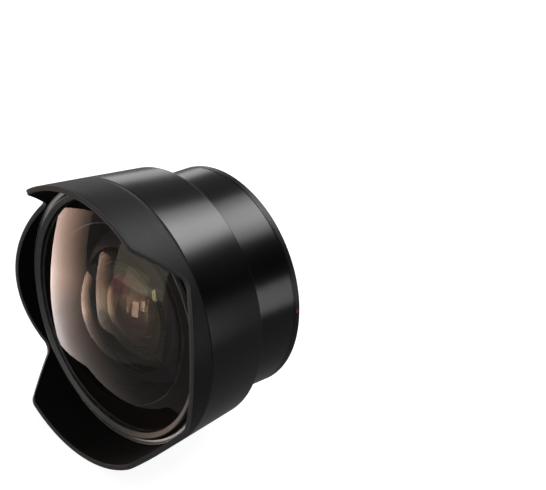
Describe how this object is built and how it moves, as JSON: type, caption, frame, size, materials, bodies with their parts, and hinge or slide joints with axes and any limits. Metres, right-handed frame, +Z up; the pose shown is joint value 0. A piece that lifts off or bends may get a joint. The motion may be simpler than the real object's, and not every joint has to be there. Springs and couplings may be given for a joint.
{
  "type": "fisheye converter lens",
  "caption": "Fisheye converter lens: petal hood, steep front glass, inner glasses in a cell, stepped black barrel, and a rear bayonet socket with a sprung lock pin and slider.",
  "frame": {"origin": "centre of the rear mount face, on the optical axis", "axes": "+Y runs along the optical axis to the rear, out of the mount's socket, so the front glass looks along -Y; +Z is up, through a long petal of the hood; +X is the side with the index mark"},
  "size_m": [0.0814, 0.054, 0.083],
  "materials": {
    "hood_plastic": "fine matte black plastic",
    "ring_metal": "satin black anodised, with fine concentric steps",
    "barrel_metal": "satin black enamel",
    "mount_metal": "dense black anodised",
    "cell_metal": "matte black anodised",
    "seal_rubber": "matte",
    "pad_rubber": "matte",
    "front_glass": "polished, coated, with a warm reflection",
    "second_glass": "polished and coated",
    "pair_glass": "polished and coated",
    "tail_glass": "polished and coated",
    "screw_steel": "black oxide",
    "spring_steel": "bright spring steel",
    "pin_steel": "ground",
    "bracket_brass": "plain",
    "knob_plastic": "matte black plastic",
    "index_paint": "red enamel"
  },
  "bodies": {
    "housing": {"hood": "hood_plastic", "front_ring": "ring_metal", "front_seal": "seal_rubber", "front_element": "front_glass", "second_element": "second_glass", "third_element": "pair_glass", "fourth_element": "pair_glass", "fifth_element": "tail_glass", "sixth_element": "tail_glass", "second_ring": "cell_metal", "pair_ring": "cell_metal", "rear_ring": "cell_metal", "lens_cell": "cell_metal", "front_barrel": "barrel_metal", "rear_barrel": "barrel_metal", "index_mark": "index_paint", "mount_ring": "mount_metal", "seat_pad": "pad_rubber", "cell_screws": "screw_steel", "barrel_screws": "screw_steel", "mount_screws": "screw_steel", "leaf_springs": "spring_steel", "lock_spring": "spring_steel", "pin_bracket": "bracket_brass", "bracket_screws": "screw_steel"},
    "slider": {"release_arm": "pin_steel", "release_knob": "knob_plastic"},
    "pin": {"lock_pin": "pin_steel"}
  },
  "joints": [
    {"name": "release_turn", "type": "hinge", "parent": "housing", "child": "slider", "pos_m": [0, 0, 0], "axis": [0, -1, 0], "range_deg": [0, 8], "stiffness_Nm_per_rad": 0.05, "springref_deg": -4.47},
    {"name": "lock_pin_slide", "type": "slide", "parent": "housing", "child": "pin", "axis": [0, -1, 0], "range_m": [0, 0.00181], "deforming": ["lock_spring"]}
  ],
  "couplings": [
    {"joint": "lock_pin_slide", "follows": "release_turn", "m_per_rad": 0.01289}
  ]
}
